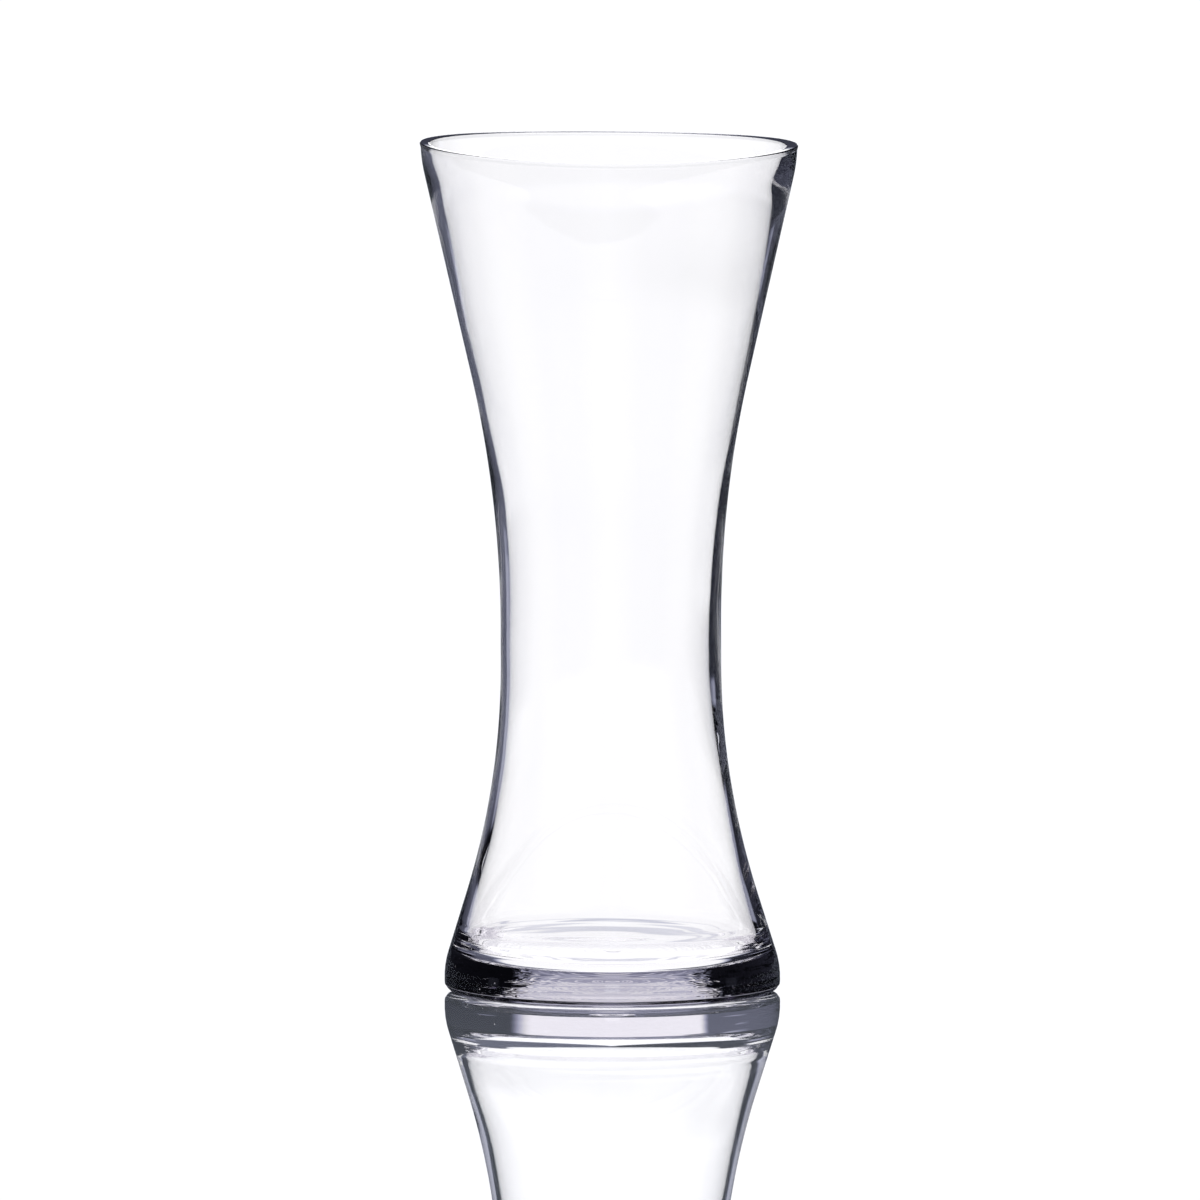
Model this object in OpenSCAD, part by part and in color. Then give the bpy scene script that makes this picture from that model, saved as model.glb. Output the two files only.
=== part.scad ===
// Clear glass flower vase: a flared mouth, a slim neck and a wide, heavy foot.
// It is one blown and fire-polished piece of glass, turned about the Z axis.
// Millimetres, +Z up. The origin is the centre of the foot, on the surface it stands on.

/* [Overall] */
// Height from the table to the top of the lip
vase_h = 254; // [220:1:300]
// Outer diameter across the mouth, over the lip
mouth_d = 112.8; // [100:0.2:126]
// Outer diameter at the widest part of the foot
foot_d = 100.2; // [92:0.2:112]

/* [Neck] */
// Outer diameter of the neck
neck_d = 65.8; // [60:0.2:74]
// Height of the middle of the neck
neck_z = 104; // [96:1:112]
// Length of the straight stretch in the middle of the neck
neck_len = 11; // [4:1:20]
// Radius of the curve from the neck up into the mouth
mouth_curve_r = 339; // [300:1:380]
// Radius of the curve from the neck down into the foot
foot_curve_r = 231; // [200:1:250]

/* [Glass] */
// Wall at the mouth, measured level
mouth_wall = 3.8; // [2.8:0.1:4.8]
// Wall halfway between the neck and the mouth
upper_wall = 2; // [1.6:0.1:3.2]
// Wall at the neck
neck_wall = 3.1; // [2:0.1:4]
// Wall halfway between the neck and the foot
lower_wall = 2.7; // [2:0.1:4]
// Wall just above the cavity's rounded bottom corner
foot_wall = 3.9; // [2.6:0.1:4.6]
// Thickness of the glass under the middle of the cavity
base_t = 7.5; // [5:0.1:14]
// Radius of the corner between the cavity's wall and its floor
cavity_corner_r = 11; // [6:0.5:13]
// How far the middle of the cavity's floor stands above its edge
floor_rise = 0.3; // [0:0.1:1.5]

/* [Lip] */
// Radius of the rounded edges of the fire-polished lip
lip_edge_r = 0.7; // [0.5:0.1:1.7]
// How far the lip stands out past the outside of the wall
lip_proud = 0.4; // [0:0.1:0.5]
// Height over which the wall draws in to the lip
drawn_in_h = 8; // [4:1:14]
// How far the wall draws in there
drawn_in = 0.7; // [0:0.1:1.2]

/* [Foot] */
// Radius of the rounded bottom edge
heel_r = 3.4; // [2:0.1:5]
// Radius of the swell above the bottom edge
heel_swell_r = 26; // [15:1:36]
// Width of the flat ring that the vase stands on
foot_ring_w = 6; // [3:0.5:10]
// Depth of the hollow inside that ring
punt_depth = 1.2; // [0.6:0.1:3]

/* [Hidden] */

$fn = 180;
curve_steps = 14;
edge_steps = 6;

mouth_r = mouth_d / 2;
foot_r = foot_d / 2;
neck_r = neck_d / 2;
neck_top_z = neck_z + neck_len / 2;
neck_bottom_z = neck_z - neck_len / 2;

// The swell of the foot starts a little above the rounded bottom edge.
heel_swell_z = heel_r + 0.8;

// The wall ends under the lip, and draws in over the last stretch below it.
lip_z = vase_h - 2 * lip_edge_r;
wall_top_r = mouth_r - lip_proud;
flare_end_z = lip_z - drawn_in_h;

// Tilt from upright of a straight line that touches a circle, or that passes between
// two circles, from the step between the two ends' centres and the sum of their radii.
function touching_tilt(step_r, step_z, reach) =
    atan2(step_z, step_r) - acos(reach / norm([step_r, step_z]));

// The straight flare would reach drawn_in past the wall's real top.
flare_tilt = touching_tilt(
    neck_r + mouth_curve_r - wall_top_r - drawn_in,
    lip_z - neck_top_z,
    mouth_curve_r
);
skirt_tilt = touching_tilt(
    neck_r + foot_curve_r - foot_r + heel_swell_r,
    neck_bottom_z - heel_swell_z,
    foot_curve_r + heel_swell_r
);

// Points on an arc in the half-plane of radius and height.
function arc(centre_r, centre_z, radius, from_a, to_a, steps) = [
    for (i = [0:steps])
        let (a = from_a + (to_a - from_a) * i / steps)
            [centre_r + radius * cos(a), centre_z + radius * sin(a)]
];

// Points on the last stretch of the wall, which leaves the straight flare smoothly.
function drawn_in_wall(steps) = [
    for (i = [0:steps])
        let (t = i / steps)
            [
                wall_top_r + drawn_in * (1 - t * t) - drawn_in_h * (1 - t) * tan(flare_tilt),
                flare_end_z + t * drawn_in_h
            ]
];

// Outside of the vase, from the bottom of the heel up to the underside of the lip.
outside = concat(
    arc(foot_r - heel_r, heel_r, heel_r, -90, 0, edge_steps),
    arc(foot_r - heel_swell_r, heel_swell_z, heel_swell_r, 0, skirt_tilt, edge_steps),
    arc(neck_r + foot_curve_r, neck_bottom_z, foot_curve_r, 180 + skirt_tilt, 180, curve_steps),
    arc(neck_r + mouth_curve_r, neck_top_z, mouth_curve_r, 180, 180 - flare_tilt, curve_steps),
    drawn_in_wall(edge_steps)
);

// The cavity's floor, and the height of the centre of its rounded bottom corner.
floor_z = punt_depth + base_t;
corner_z = floor_z - floor_rise + cavity_corner_r;

// Level thickness of the wall at a height.
function wall_at(z) = lookup(z, [
    [corner_z, foot_wall],
    [neck_z / 2, lower_wall],
    [neck_z, neck_wall],
    [(neck_z + vase_h) / 2, upper_wall],
    [lip_z, mouth_wall]
]);

// The cavity's wall follows the outside. Its last straight stretch touches the corner.
cavity_end_z = corner_z + cavity_corner_r * sin(skirt_tilt) + 1;
cavity_wall = [for (p = outside) if (p[1] > cavity_end_z) [p[0] - wall_at(p[1]), p[1]]];
skirt_r = outside[2 * edge_steps + 2][0];
skirt_z = outside[2 * edge_steps + 2][1];
corner_edge_r = skirt_r + (skirt_z - corner_z) * tan(skirt_tilt) - foot_wall;
corner_r = corner_edge_r - cavity_corner_r / cos(skirt_tilt);
corner_tilt = touching_tilt(
    cavity_wall[0][0] - corner_r,
    cavity_wall[0][1] - corner_z,
    cavity_corner_r
);
cavity_corner = arc(corner_r, corner_z, cavity_corner_r, -88, corner_tilt, curve_steps);

// The lip has rounded edges, and is proud of the wall on the outside.
lip_edge_z = vase_h - lip_edge_r;
lip_inner_r = wall_top_r - mouth_wall;
lip_under_a = acos(1 - lip_proud / lip_edge_r);
lip = concat(
    arc(mouth_r - lip_edge_r, lip_edge_z, lip_edge_r, -lip_under_a, 90, edge_steps),
    arc(lip_inner_r + lip_edge_r, lip_edge_z, lip_edge_r, 90, 180, edge_steps)
);

// The punt is a shallow dish inside the ring that the vase stands on.
punt_r = foot_r - heel_r - foot_ring_w;
dish_r = (punt_r * punt_r + punt_depth * punt_depth) / (2 * punt_depth);
punt = arc(0, punt_depth - dish_r, dish_r, 90, 90 - asin(punt_r / dish_r), edge_steps);

function reversed(list) = [for (i = [len(list) - 1:-1:0]) list[i]];

section = concat(
    punt,
    outside,
    lip,
    reversed(cavity_wall),
    reversed(cavity_corner),
    [[0, floor_z]]
);

module glass_vase() {
    color([0.86, 0.9, 0.92, 0.35])
        rotate_extrude()
            polygon(section);
}

glass_vase();
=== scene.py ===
"""Clear glass flower vase, standing on a glossy white table in a bright-field studio."""

import math

import bpy
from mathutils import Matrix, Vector, noise


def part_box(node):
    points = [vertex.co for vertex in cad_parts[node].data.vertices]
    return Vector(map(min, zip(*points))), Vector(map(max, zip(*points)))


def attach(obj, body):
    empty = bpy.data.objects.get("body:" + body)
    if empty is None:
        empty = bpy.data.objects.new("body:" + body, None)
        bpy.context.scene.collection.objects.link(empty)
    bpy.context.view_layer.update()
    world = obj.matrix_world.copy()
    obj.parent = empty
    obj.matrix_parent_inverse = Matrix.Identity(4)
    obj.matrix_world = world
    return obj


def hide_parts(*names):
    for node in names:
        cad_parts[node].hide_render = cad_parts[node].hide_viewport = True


MM = 0.001

# ---- Frame ---------------------------------------------------------------------------
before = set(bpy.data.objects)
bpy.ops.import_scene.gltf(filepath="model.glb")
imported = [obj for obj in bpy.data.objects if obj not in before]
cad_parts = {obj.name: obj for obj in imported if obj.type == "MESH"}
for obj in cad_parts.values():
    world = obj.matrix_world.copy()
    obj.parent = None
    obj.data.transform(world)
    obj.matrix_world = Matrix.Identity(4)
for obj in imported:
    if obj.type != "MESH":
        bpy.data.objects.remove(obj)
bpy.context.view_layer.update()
node_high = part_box("glass_vase")[1]

# ---- Driving dimensions of the glass ---------------------------------------------------
HEIGHT = node_high.z
MOUTH_R = node_high.x
FOOT_R = 50.1 * MM
NECK_R = 32.9 * MM
NECK_TOP_Z = 109.5 * MM
NECK_BOTTOM_Z = 98.5 * MM
MOUTH_CURVE_R = 339 * MM
FOOT_CURVE_R = 231 * MM
HEEL_R = 3.4 * MM
# Between these two angles the heel's curve is replaced by a soft edge.
HEEL_EDGE_LOW = math.radians(3)
HEEL_EDGE_HIGH = math.radians(35)
HEEL_SWELL_R = 26 * MM
HEEL_SWELL_Z = HEEL_R + 0.8 * MM
LIP_OUTER_R = 0.3 * MM
LIP_INNER_R = 0.25 * MM
LIP_BEAD_H = 1.7 * MM
LIP_TILT = math.radians(4.7)
LIP_PROUD = 0.28 * MM
DRAWN_IN_H = 8 * MM
DRAWN_IN = 0.7 * MM
RING_W = 6 * MM
PUNT_DEPTH = 1.2 * MM
FLOOR_Z = 8.7 * MM
FLOOR_RISE = 0.3 * MM
CORNER_R = 11.0 * MM
FOOT_WALL = 3.9 * MM
# Level thickness of the wall at some heights, in millimetres.
WALL = (
    (19, 3.9),
    (30, 3.3),
    (42, 2.9),
    (56, 2.7),
    (74, 2.8),
    (96, 3.1),
    (120, 3.15),
    (142, 2.8),
    (160, 2.15),
    (178, 1.95),
    (200, 2.4),
    (225, 3.6),
    (240, 4.0),
    (250, 3.3),
    (260, 2.7),
)
# How far the cavity sits to the left of the outside, in millimetres, at some heights.
OFF_CENTRE = (
    (0, 0.0),
    (30, 0.35),
    (50, -0.1),
    (66, -0.15),
    (88, 0.35),
    (112, 0.25),
    (134, -0.1),
    (152, -0.3),
    (180, 0.0),
    (206, 0.0),
    (226, 0.4),
    (242, 0.6),
    (254, 0.3),
)

RIM_SAG = 1.35 * MM
RIM_DROP = 0.45 * MM
LEAN = 1.05 * MM

# Fine ridges round the top of the cavity's corner: height and depth, in millimetres.
RIDGES = ((15.7, 0.04), (14.3, 0.02), (13.1, 0.03), (12.0, 0.02))

# Small bubbles: across, distance from the axis, height and radius, in millimetres.
BUBBLES = (
    (-45.4, 47.6, 8.6, 0.22),
    (-34.6, 48.6, 6.0, 0.2),
    (-39.0, 48.9, 3.8, 0.26),
    (-38.2, 48.4, 2.3, 0.2),
    (-42.6, 48.4, 2.0, 0.24),
    (-34.2, 48.2, 2.2, 0.18),
    (-26.6, 47.6, 10.0, 0.16),
    (-33.0, 33.6, 149.2, 0.22),
    (-32.9, 33.5, 147.1, 0.16),
)

# Points round each ring of the turned mesh.
TURNS = 300


def smooth(t):
    """0 up to 0, 1 from 1, and a smooth step between them."""
    t = min(max(t, 0.0), 1.0)
    return t * t * (3 - 2 * t)


def blend(table, z):
    """A smooth curve through a table of heights and values, all in millimetres."""
    z = z / MM
    if z <= table[0][0]:
        return table[0][1] * MM
    last = len(table) - 1
    for i in range(last):
        z0, v0 = table[i]
        z1, v1 = table[i + 1]
        if z > z1:
            continue
        before = table[max(i - 1, 0)]
        after = table[min(i + 2, last)]
        slope0 = (v1 - before[1]) / (z1 - before[0])
        slope1 = (after[1] - v0) / (after[0] - z0)
        h = z1 - z0
        t = (z - z0) / h
        value = (
            (2 * t**3 - 3 * t**2 + 1) * v0
            + (t**3 - 2 * t**2 + t) * h * slope0
            + (3 * t**2 - 2 * t**3) * v1
            + (t**3 - t**2) * h * slope1
        )
        return value * MM
    return table[last][1] * MM


def touching_tilt(step_r, step_z, reach):
    """Tilt from upright of a line that touches a circle, or passes between two circles."""
    return math.atan2(step_z, step_r) - math.acos(reach / math.hypot(step_r, step_z))


def arc(centre, radius, start, end, steps):
    """Points on an arc in the half-plane of radius and height, angles in radians."""
    turns = [start + (end - start) * i / steps for i in range(steps + 1)]
    return [(centre[0] + radius * math.cos(a), centre[1] + radius * math.sin(a)) for a in turns]


def line(a, b, steps):
    """Points along a straight line, without its two ends."""
    return [
        (a[0] + (b[0] - a[0]) * i / steps, a[1] + (b[1] - a[1]) * i / steps)
        for i in range(1, steps)
    ]


def outside_points():
    """The outside from the bottom of the heel to the underside of the lip, and the skirt's tilt."""
    lip_z = HEIGHT - LIP_BEAD_H
    wall_top_r = MOUTH_R - LIP_PROUD
    flare = touching_tilt(
        NECK_R + MOUTH_CURVE_R - wall_top_r - DRAWN_IN, lip_z - NECK_TOP_Z, MOUTH_CURVE_R
    )
    skirt = touching_tilt(
        NECK_R + FOOT_CURVE_R - FOOT_R + HEEL_SWELL_R,
        NECK_BOTTOM_Z - HEEL_SWELL_Z,
        FOOT_CURVE_R + HEEL_SWELL_R,
    )
    # The heel meets the wall at a soft edge.
    heel_centre = (FOOT_R - HEEL_R, HEEL_R)
    turned = (HEEL_EDGE_LOW + HEEL_EDGE_HIGH) / 2
    reach = HEEL_R / math.cos((HEEL_EDGE_HIGH - HEEL_EDGE_LOW) / 2)
    edge = arc(heel_centre, reach, -turned, -turned, 1)[0]
    under = arc(heel_centre, HEEL_R, -math.pi / 2, -HEEL_EDGE_HIGH, 20)
    over = arc(heel_centre, HEEL_R, -HEEL_EDGE_LOW, 0, 4)
    heel = under + line(under[-1], edge, 10) + [edge] + line(edge, over[0], 10) + over
    swell = arc((FOOT_R - HEEL_SWELL_R, HEEL_SWELL_Z), HEEL_SWELL_R, 0, skirt, 20)
    lower = arc(
        (NECK_R + FOOT_CURVE_R, NECK_BOTTOM_Z), FOOT_CURVE_R, math.pi + skirt, math.pi, 44
    )
    upper = arc(
        (NECK_R + MOUTH_CURVE_R, NECK_TOP_Z), MOUTH_CURVE_R, math.pi, math.pi - flare, 48
    )
    drawn = []
    drawn_steps = 8
    for i in range(drawn_steps + 1):
        t = i / drawn_steps
        drawn.append(
            (
                wall_top_r + DRAWN_IN * (1 - t * t) - DRAWN_IN_H * (1 - t) * math.tan(flare),
                lip_z - DRAWN_IN_H * (1 - t),
            )
        )
    points = (
        heel
        + swell
        + line(swell[-1], lower[0], 30)
        + lower
        + line(lower[-1], upper[0], 6)
        + upper
        + line(upper[-1], drawn[0], 30)
        + drawn
    )
    return points, skirt


def cavity_corner(skirt_r, edge_z, skirt):
    """The round corner from the cavity's floor up into its wall, which leans by skirt."""
    steps = 100
    corner = []
    for i in range(steps + 1):
        turn = math.pi / 2 * i / steps
        along = 1 - math.sin(turn)
        rising = 1 - math.cos(turn)
        r = skirt_r - CORNER_R * along - CORNER_R * rising * math.sin(skirt)
        corner.append((r, edge_z + CORNER_R * rising * math.cos(skirt)))
    return corner


def lip_points():
    """The lip in two lists: a small bead with a flat top that falls inwards, and its inner edge."""
    lip_inner = MOUTH_R - LIP_PROUD - blend(WALL, HEIGHT)
    bead_rise = LIP_BEAD_H - LIP_OUTER_R
    bead_steps = 12
    top = []
    for i in range(1, bead_steps):
        t = i / bead_steps
        z = HEIGHT - LIP_BEAD_H + bead_rise * t
        top.append((MOUTH_R - LIP_PROUD * (1 - smooth(t)), z))
    right = math.pi / 2
    top += arc((MOUTH_R - LIP_OUTER_R, HEIGHT - LIP_OUTER_R), LIP_OUTER_R, 0, right, 10)
    fall = (top[-1][0] - lip_inner - LIP_INNER_R) * math.tan(LIP_TILT)
    inner_centre = (lip_inner + LIP_INNER_R, HEIGHT - fall - LIP_INNER_R)
    inner_edge = arc(inner_centre, LIP_INNER_R, right + LIP_TILT, math.pi, 8)
    return top + line(top[-1], inner_edge[0], 8), inner_edge


def cavity_floor(edge):
    """Points on the cavity's floor from the corner to near the axis, where it is highest."""
    steps = 110
    floor = []
    for i in range(1, steps):
        t = i / steps
        floor.append((edge[0] * (1 - t), edge[1] + (FLOOR_Z - edge[1]) * smooth(t)))
    return floor


def section():
    """The closed half-section, from the middle of the punt to the middle of the cavity's floor.

    Also how many of its points, from the first one, are on the outside.
    """
    outside, skirt = outside_points()
    punt_r = FOOT_R - HEEL_R - RING_W
    dish_r = (punt_r**2 + PUNT_DEPTH**2) / (2 * PUNT_DEPTH)
    half = math.asin(punt_r / dish_r)
    punt = arc((0, PUNT_DEPTH - dish_r), dish_r, math.pi / 2, math.pi / 2 - half, 150)
    ring = line(punt[-1], outside[0], 20)

    # The cavity's wall starts a little above the corner.
    edge_z = FLOOR_Z - FLOOR_RISE
    wall_start_z = edge_z + CORNER_R * math.cos(skirt) + 0.3 * MM
    above = [p for p in outside if p[1] > wall_start_z]
    skirt_r = above[0][0] + (above[0][1] - edge_z) * math.tan(skirt) - FOOT_WALL
    corner = cavity_corner(skirt_r, edge_z, skirt)
    cavity = [(r - blend(WALL, z), z) for r, z in above]

    lip_top, lip_inner_edge = lip_points()
    skin = punt + ring + outside + lip_top
    lining = lip_inner_edge + cavity[::-1] + corner[::-1] + cavity_floor(corner[0]) + [(0, FLOOR_Z)]
    return skin + lining, len(skin)


def fired(x, y, z, inner):
    """Where hot glass has settled: the small ways in which the vase isn't a true turning."""
    r = math.hypot(x, y)
    if r > 0:
        ripple = noise.noise(Vector((x, y, z * 1.4)) * (26 if inner else 18) + Vector((3, 9, 1)))
        swell = noise.noise(Vector((x, y, z)) * 60 + Vector((7, 2, 5)))
        push = (0.16 if inner else 0.05) * ripple + (0.03 if inner else 0.012) * swell
        push *= smooth((z - 20 * MM) / (22 * MM)) * MM
        x += push * x / r
        y += push * y / r
    if inner:
        x -= blend(OFF_CENTRE, z) * smooth((z - 12 * MM) / (10 * MM))
    # The rim sags a little at the front and the back, and its right side sits lower.
    up = smooth((z - 150 * MM) / (100 * MM))
    z -= RIM_SAG * (y / MOUTH_R) ** 2 * up
    z -= RIM_DROP * (x / MOUTH_R) * up
    # The whole vase leans slightly to the left.
    x -= LEAN * z / HEIGHT
    return (x, y, z)


def rings_in_base(points, skin):
    """Faint turned rings left by the mould on the underside, the heel and the cavity's corner."""
    out = []
    for i, (r, z) in enumerate(points):
        if 0 < i < len(points) - 1 and z < 22 * MM:
            wave = math.sin(r / MM * 2.1) + 0.7 * math.sin(r / MM * 3.6 + 1)
            if i < skin and z > 1.3 * MM:
                r += 0.012 * MM * math.sin(z / MM * 2.6)
            elif i < skin:
                z += 0.006 * MM * wave * smooth((40 * MM - r) / (3 * MM))
            else:
                z += 0.01 * MM * wave * smooth((r - 33 * MM) / (4 * MM))
                for height, deep in RIDGES:
                    r += deep * MM * math.exp(-(((z / MM - height) / 0.45) ** 2))
        out.append((r, z))
    return out


def sphere(centre, radius, verts, faces):
    """Adds a closed ball whose faces look inwards, as a bubble's do."""
    start = len(verts)
    rows, cols = 7, 12
    verts.append((centre[0], centre[1], centre[2] - radius))
    for i in range(1, rows):
        a = math.pi * i / rows
        for k in range(cols):
            b = 2 * math.pi * k / cols
            verts.append(
                (
                    centre[0] + radius * math.sin(a) * math.cos(b),
                    centre[1] + radius * math.sin(a) * math.sin(b),
                    centre[2] - radius * math.cos(a),
                )
            )
    top = len(verts)
    verts.append((centre[0], centre[1], centre[2] + radius))
    for k in range(cols):
        nxt = (k + 1) % cols
        faces.append((start, start + 1 + k, start + 1 + nxt))
        for i in range(rows - 2):
            a = start + 1 + i * cols
            faces.append((a + k, a + cols + k, a + cols + nxt, a + nxt))
        last = start + 1 + (rows - 2) * cols
        faces.append((last + k, top, last + nxt))


def lathe(name, points, skin, turns):
    """Turns a section whose first and last points are on the axis into a closed mesh."""
    verts = [(0, 0, points[0][1])]
    rings = points[1:-1]
    for i, (r, z) in enumerate(rings):
        inner = i + 1 >= skin
        for k in range(turns):
            a = 2 * math.pi * k / turns
            verts.append(fired(r * math.cos(a), r * math.sin(a), z, inner))
    top = len(verts)
    verts.append((0, 0, points[-1][1]))
    faces = []
    for k in range(turns):
        nxt = (k + 1) % turns
        faces.append((0, 1 + nxt, 1 + k))
        for i in range(len(rings) - 1):
            a = 1 + i * turns
            faces.append((a + k, a + nxt, a + turns + nxt, a + turns + k))
        last = 1 + (len(rings) - 1) * turns
        faces.append((last + k, last + nxt, top))
    for x, depth, z, radius in BUBBLES:
        surface = (depth * MM) ** 2 - (x * MM) ** 2
        sphere((x * MM, -math.sqrt(surface), z * MM), radius * MM, verts, faces)
    mesh = bpy.data.meshes.new(name)
    mesh.from_pydata(verts, [], faces)
    mesh.validate()
    for p in mesh.polygons:
        p.use_smooth = True
    obj = bpy.data.objects.new(name, mesh)
    bpy.context.scene.collection.objects.link(obj)
    return obj


def glass_material():
    """Clear glass with a wavy surface and a faint tint."""
    mat = bpy.data.materials.new("clear_glass")
    mat.use_nodes = True
    nodes, links = mat.node_tree.nodes, mat.node_tree.links
    shader = nodes["Principled BSDF"]
    shader.inputs["Base Color"].default_value = (1, 1, 1, 1)
    shader.inputs["Roughness"].default_value = 0.0
    shader.inputs["IOR"].default_value = 1.52
    shader.inputs["Transmission Weight"].default_value = 1.0
    # The faint waviness of a blown surface.
    coord = nodes.new("ShaderNodeTexCoord")
    wave = nodes.new("ShaderNodeTexNoise")
    wave.inputs["Scale"].default_value = 95
    wave.inputs["Detail"].default_value = 1.5
    bump = nodes.new("ShaderNodeBump")
    bump.inputs["Strength"].default_value = 0.3
    bump.inputs["Distance"].default_value = 0.00006
    links.new(coord.outputs["Object"], wave.inputs["Vector"])
    # The pressed base is smoother.
    axes = nodes.new("ShaderNodeSeparateXYZ")
    above = nodes.new("ShaderNodeMapRange")
    above.interpolation_type = "SMOOTHSTEP"
    above.inputs["From Min"].default_value = 20 * MM
    above.inputs["From Max"].default_value = 45 * MM
    height = nodes.new("ShaderNodeMath")
    height.operation = "MULTIPLY"
    links.new(coord.outputs["Object"], axes.inputs[0])
    links.new(axes.outputs["Z"], above.inputs["Value"])
    links.new(above.outputs[0], height.inputs[0])
    links.new(wave.outputs["Fac"], height.inputs[1])
    links.new(height.outputs[0], bump.inputs["Height"])
    links.new(bump.outputs["Normal"], shader.inputs["Normal"])
    # The faint grey of soda-lime glass, which shows where the glass is deep.
    tint = nodes.new("ShaderNodeVolumeAbsorption")
    tint.inputs["Color"].default_value = (0.78, 0.75, 0.8, 1)
    tint.inputs["Density"].default_value = 14
    links.new(tint.outputs[0], nodes["Material Output"].inputs["Volume"])
    return mat


# ---- Camera -------------------------------------------------------------------------
AIM = Vector((-3.7 * MM, 0, 117.2 * MM))
CAMERA_Y = -9
CAMERA_Z = 1.04
# Width of the picture where the vase stands.
PICTURE_W = 358.0 * MM
SENSOR_W = 36


def camera():
    """A long lens from the front, looking down by almost 6 degrees."""
    data = bpy.data.cameras.new("camera")
    cam = bpy.data.objects.new("camera", data)
    bpy.context.scene.collection.objects.link(cam)
    bpy.context.scene.camera = cam
    cam.location = (AIM.x, CAMERA_Y, CAMERA_Z)
    look = AIM - cam.location
    cam.rotation_mode = "QUATERNION"
    cam.rotation_quaternion = look.to_track_quat("-Z", "Y")
    data.sensor_width = SENSOR_W
    data.lens = SENSOR_W * look.length / PICTURE_W
    data.clip_start = 0.1
    data.clip_end = 100


# ---- Stage --------------------------------------------------------------------------
# The table lies this far under the foot, so that their faces don't meet.
TABLE_GAP = 0.05 * MM
TABLE_HALF = 6
TENT_R = 40
# The tent's heights are counted from this many degrees below the real horizon.
HORIZON_BELOW = 5.87


class Shading:
    """Short calls for building a stage shader."""

    def __init__(self, tree):
        self.nodes, self.links = tree.nodes, tree.links
        self.nodes.clear()

    def node(self, kind, **values):
        n = self.nodes.new(kind)
        for key, value in values.items():
            setattr(n, key, value)
        return n

    def put(self, value, socket):
        if isinstance(value, (int, float)):
            socket.default_value = value
        else:
            self.links.new(value, socket)

    def math(self, op, *values):
        n = self.node("ShaderNodeMath", operation=op)
        for value, socket in zip(values, n.inputs):
            self.put(value, socket)
        return n.outputs[0]

    def add(self, a, b):
        return self.math("ADD", a, b)

    def mul(self, a, b):
        return self.math("MULTIPLY", a, b)

    def rise(self, value, low, high):
        """0 below low, 1 above high, smooth between them."""
        n = self.node("ShaderNodeMapRange", interpolation_type="SMOOTHSTEP")
        self.put(value, n.inputs["Value"])
        self.put(low, n.inputs["From Min"])
        self.put(high, n.inputs["From Max"])
        return n.outputs[0]

    def fall(self, value, low, high):
        return self.math("SUBTRACT", 1.0, self.rise(value, low, high))

    def mix(self, factor, a, b):
        """a where factor is 0, b where it is 1."""
        return self.add(self.mul(a, self.math("SUBTRACT", 1.0, factor)), self.mul(b, factor))


def table_material():
    """Glossy white, with a little matt blue-white under the gloss."""
    mat = bpy.data.materials.new("white_table")
    mat.use_nodes = True
    s = Shading(mat.node_tree)
    gloss = s.node("ShaderNodeBsdfGlossy")
    gloss.inputs["Color"].default_value = (0.98, 0.98, 0.98, 1)
    gloss.inputs["Roughness"].default_value = 0.012
    matt = s.node("ShaderNodeBsdfDiffuse")
    matt.inputs["Color"].default_value = (0.75, 0.83, 0.98, 1)
    mix = s.node("ShaderNodeMixShader")
    mix.inputs[0].default_value = 0.92
    out = s.node("ShaderNodeOutputMaterial")
    s.links.new(matt.outputs[0], mix.inputs[1])
    s.links.new(gloss.outputs[0], mix.inputs[2])
    s.links.new(mix.outputs[0], out.inputs[0])
    return mat


def table():
    """A large level top. Rays that have crossed glass don't meet it, and reach the tent below."""
    mesh = bpy.data.meshes.new("table")
    h = TABLE_HALF
    mesh.from_pydata([(-h, -h, 0), (h, -h, 0), (h, h, 0), (-h, h, 0)], [], [(0, 1, 2, 3)])
    obj = bpy.data.objects.new("table", mesh)
    obj.location.z = -TABLE_GAP
    obj.visible_transmission = False
    bpy.context.scene.collection.objects.link(obj)
    mesh.materials.append(table_material())


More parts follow.
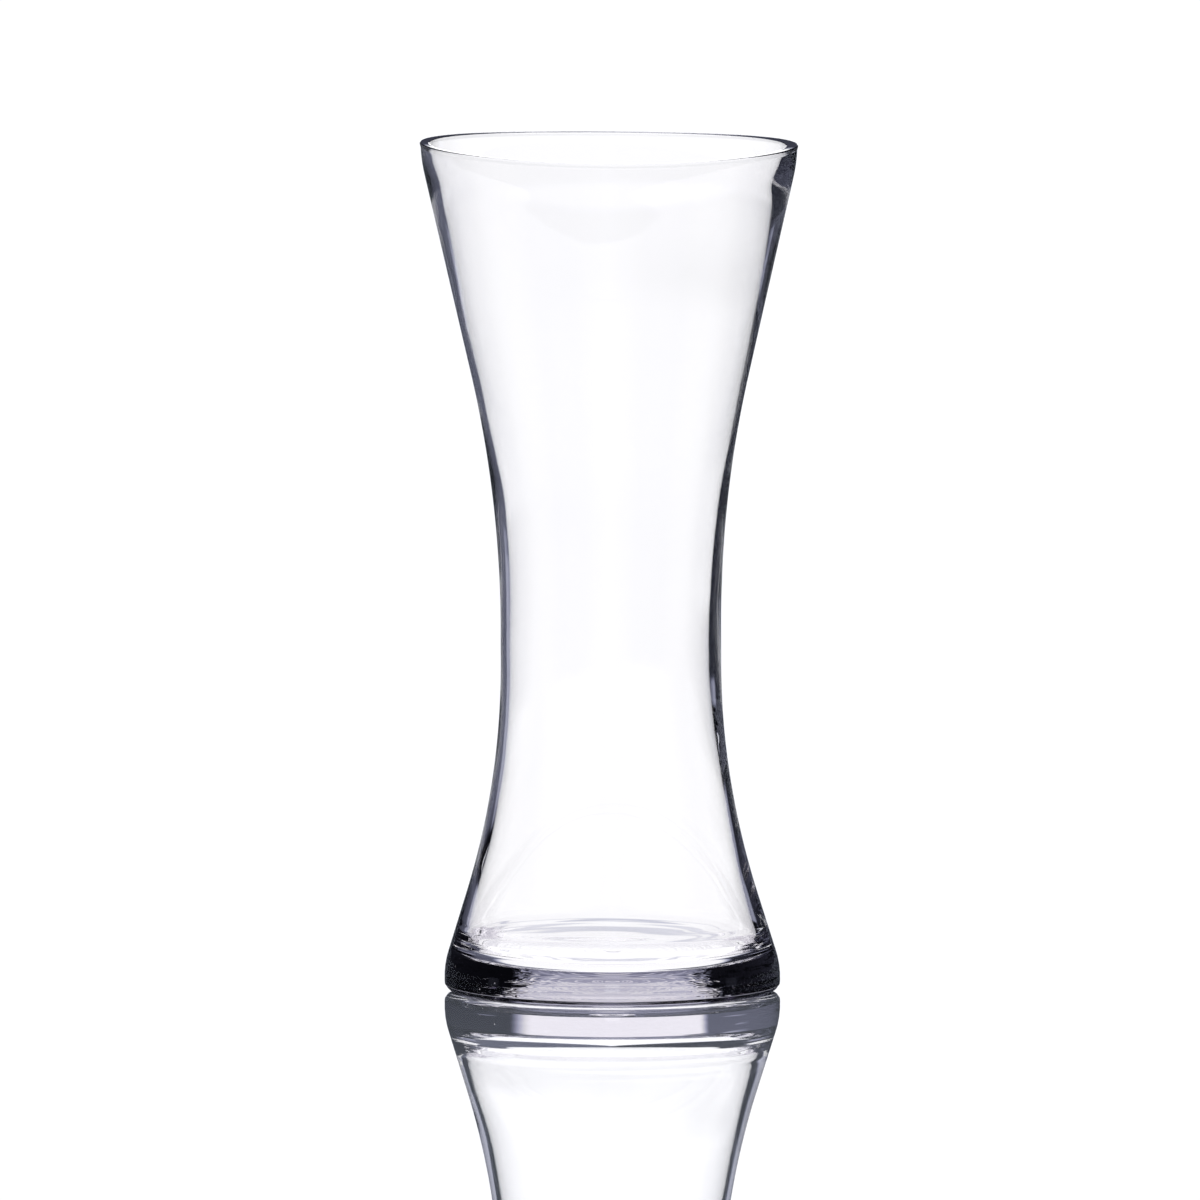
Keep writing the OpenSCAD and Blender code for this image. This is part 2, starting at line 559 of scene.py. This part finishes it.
def light_inside(s, azimuth, away, up, bounced):
    """What is reflected inside the glass: one panel towards +Y, and dark flags beside it."""
    far = s.math("ABSOLUTE", azimuth)
    left = s.fall(azimuth, -2.0, 2.0)
    once = s.math("LESS_THAN", bounced, 1.5)
    # A second reflection, often the table's.
    again = s.math("COMPARE", bounced, 2.0, 0.5)

    # The panel's half-width. It widens above 8 degrees, and has a ragged edge there.
    deep = s.math("MAXIMUM", s.rise(up, 7.5, 8.5), again)
    slats = s.math("SINE", s.mul(up, 4.0))
    lower = s.math("MAXIMUM", s.math("SUBTRACT", 13.0, up), 0.0)
    lower = s.add(s.mul(s.math("MINIMUM", lower, 4.0), 2.5), s.mul(slats, 4.0))
    beyond = s.mix(s.fall(up, -25.0, -10.0), 20.0, 22.8)
    half = s.add(4.5, s.mul(s.mix(again, s.add(17.5, lower), beyond), deep))
    soft = s.mix(again, 1.0, s.mix(left, 4.0, 1.8))
    opened = s.fall(far, s.math("SUBTRACT", half, soft), s.add(half, soft))

    # The flags, with a dim strip low down on each side of the panel.
    low = s.fall(up, 3.0, 6.0)
    dark = s.add(0.002, s.mul(low, s.add(0.02, s.mul(left, 0.11))))
    start = s.mix(left, 1.0, -4.2)
    strip = s.mul(s.rise(up, start, s.add(start, 1.6)), s.fall(up, 5.0, 6.5))
    strip = s.mul(strip, s.mul(s.rise(away, 29.0, 33.0), s.fall(far, 34.0, 46.0)))
    dark = s.add(dark, s.mul(s.mul(strip, once), 0.36))

    # The panel's own brightness where it is wide.
    wide = s.add(0.4, s.mul(s.rise(up, 7.0, 9.0), 0.6))
    wide = s.add(wide, s.mul(s.rise(up, 12.8, 15.2), -0.67))
    wide = s.mul(wide, s.add(0.85, s.mul(slats, 0.2)))
    wide = s.mix(again, wide, s.mix(s.fall(up, 6.0, 9.0), 0.65, 1.3))
    wide = s.mix(s.math("GREATER_THAN", bounced, 2.5), wide, 0.35)
    light = s.mix(opened, dark, s.mix(deep, 1.25, wide))

    # Pale panels above and below, all round.
    above = s.mul(s.rise(up, 28.0, 31.0), s.fall(up, 60.0, 70.0))
    light = s.mix(s.mul(once, above), light, 0.8)
    return s.mix(s.mul(once, s.fall(up, -35.0, -25.0)), light, 1.15)


def light_through(s, away, up, bounced):
    """What is seen straight through the glass: near white, with two grey level lines low down."""
    direct = s.math("LESS_THAN", bounced, 0.5)
    bend = s.math("MINIMUM", away, 28.0)
    grow = s.add(-0.0004, s.mul(s.fall(up, -4.0, -1.0), 0.0009))
    white = s.add(1.11, s.mul(grow, s.mul(bend, bend)))
    near = s.mul(s.rise(up, 3.0, 8.0), s.fall(up, 9.0, 11.0))
    light = s.mul(white, s.add(1.0, s.mul(near, -0.12)))
    edge = s.mul(s.rise(up, -23.6, -22.6), s.fall(up, -22.2, -21.2))
    edge = s.math("MAXIMUM", edge, s.mul(s.fall(up, -30.0, -28.8), 0.7))
    edge = s.mul(s.mul(edge, direct), s.rise(up, -36.0, -33.0))
    light = s.mul(light, s.add(1.0, s.mul(edge, -0.4)))
    light = s.mul(light, s.mix(direct, 1.12, 1.0))
    return s.mix(s.rise(s.math("ABSOLUTE", up), 56.0, 66.0), light, 0.85)


def light_outside(s, azimuth, away, up, bounced, sharp):
    """What is reflected off the outside of the glass and the table: four narrow panels."""
    far = s.math("ABSOLUTE", azimuth)
    level = s.mix(s.rise(up, 4.0, 6.0), 1.1, 2.0)
    slate = s.add(0.08, s.mul(s.rise(up, 13.0, 15.0), 0.1))
    level = s.mix(s.rise(up, 9.6, 10.6), level, slate)
    side = s.mul(s.rise(far, 44.0, 46.0), s.fall(far, 134.0, 136.0))
    level = s.mul(level, s.add(1.0, s.mul(side, -0.93)))
    light = s.mix(s.fall(away, 4.0, 6.0), 0.012, level)
    # The table isn't quite a mirror, so its first reflections aren't sharp.
    once = s.math("LESS_THAN", bounced, 1.5)
    off_table = s.mul(once, s.math("SUBTRACT", 1.0, sharp))
    return s.mix(off_table, light, 1.1)


def tent_material():
    """White panels and dark flags, fixed in place, as for photographing glass.

    Azimuth is in degrees from +Y, away is from the middle of the nearest of the four sides,
    and up is from the tent's lowered horizon. A ray's brightness also depends on how it met
    the glass before, which no real light can do.
    """
    mat = bpy.data.materials.new("light_tent")
    mat.use_nodes = True
    s = Shading(mat.node_tree)
    coord = s.node("ShaderNodeTexCoord")
    unit = s.node("ShaderNodeVectorMath", operation="NORMALIZE")
    s.links.new(coord.outputs["Object"], unit.inputs[0])
    axes = s.node("ShaderNodeSeparateXYZ")
    s.links.new(unit.outputs[0], axes.inputs[0])
    x, y, z = axes.outputs
    degrees = 180 / math.pi
    azimuth = s.mul(s.math("ARCTAN2", x, y), degrees)
    away = s.math("ABSOLUTE", s.math("WRAP", azimuth, 45.0, -45.0))
    up = s.add(s.mul(s.math("ARCSINE", z), degrees), HORIZON_BELOW)

    path = s.node("ShaderNodeLightPath")
    bounced = path.outputs["Glossy Depth"]
    crossed = path.outputs["Transmission Depth"]
    sharp = path.outputs["Is Singular Ray"]
    twice = s.math("COMPARE", crossed, 2.0, 0.5)
    inside = s.mul(twice, s.math("GREATER_THAN", bounced, 0.5))
    outside = s.math("LESS_THAN", crossed, 0.5)
    value = s.mix(
        outside,
        light_through(s, away, up, bounced),
        light_outside(s, azimuth, away, up, bounced, sharp),
    )
    value = s.mix(inside, value, light_inside(s, azimuth, away, up, bounced))

    # Dim parts are bluer.
    tone = s.node("ShaderNodeMix", data_type="RGBA")
    s.put(s.math("MINIMUM", value, 1.0), tone.inputs["Factor"])
    tone.inputs["A"].default_value = (0.9, 0.95, 1.4, 1)
    tone.inputs["B"].default_value = (0.99, 0.99, 1.01, 1)
    glow = s.node("ShaderNodeEmission")
    s.links.new(tone.outputs["Result"], glow.inputs["Color"])
    s.put(value, glow.inputs["Strength"])
    out = s.node("ShaderNodeOutputMaterial")
    s.links.new(glow.outputs[0], out.inputs[0])
    mat.cycles.emission_sampling = "NONE"
    return mat


def tent():
    """The light tent: a ball round the scene, seen only in reflections and through the glass."""
    verts = []
    faces = []
    sphere((0, 0, 0), TENT_R, verts, faces)
    mesh = bpy.data.meshes.new("light_tent")
    mesh.from_pydata(verts, [], faces)
    obj = bpy.data.objects.new("light_tent", mesh)
    bpy.context.scene.collection.objects.link(obj)
    obj.location = (0, 0, HEIGHT / 2)
    obj.visible_camera = False
    obj.visible_diffuse = False
    obj.visible_shadow = False
    mesh.materials.append(tent_material())


def surroundings():
    """Plain white beyond the table, which also lights the table's matt part."""
    world = bpy.data.worlds.new("studio")
    bpy.context.scene.world = world
    world.use_nodes = True
    world.node_tree.nodes["Background"].inputs["Color"].default_value = (1, 1, 1, 1)


camera()
table()
tent()
surroundings()
scene = bpy.context.scene
scene.view_settings.view_transform = "Standard"
scene.cycles.max_bounces = 24
scene.cycles.transmission_bounces = 24
scene.cycles.glossy_bounces = 16

points, skin = section()
vase = lathe("vase_glass", rings_in_base(points, skin), skin, TURNS)
vase.data.materials.append(glass_material())
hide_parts("glass_vase")
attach(vase, "root")
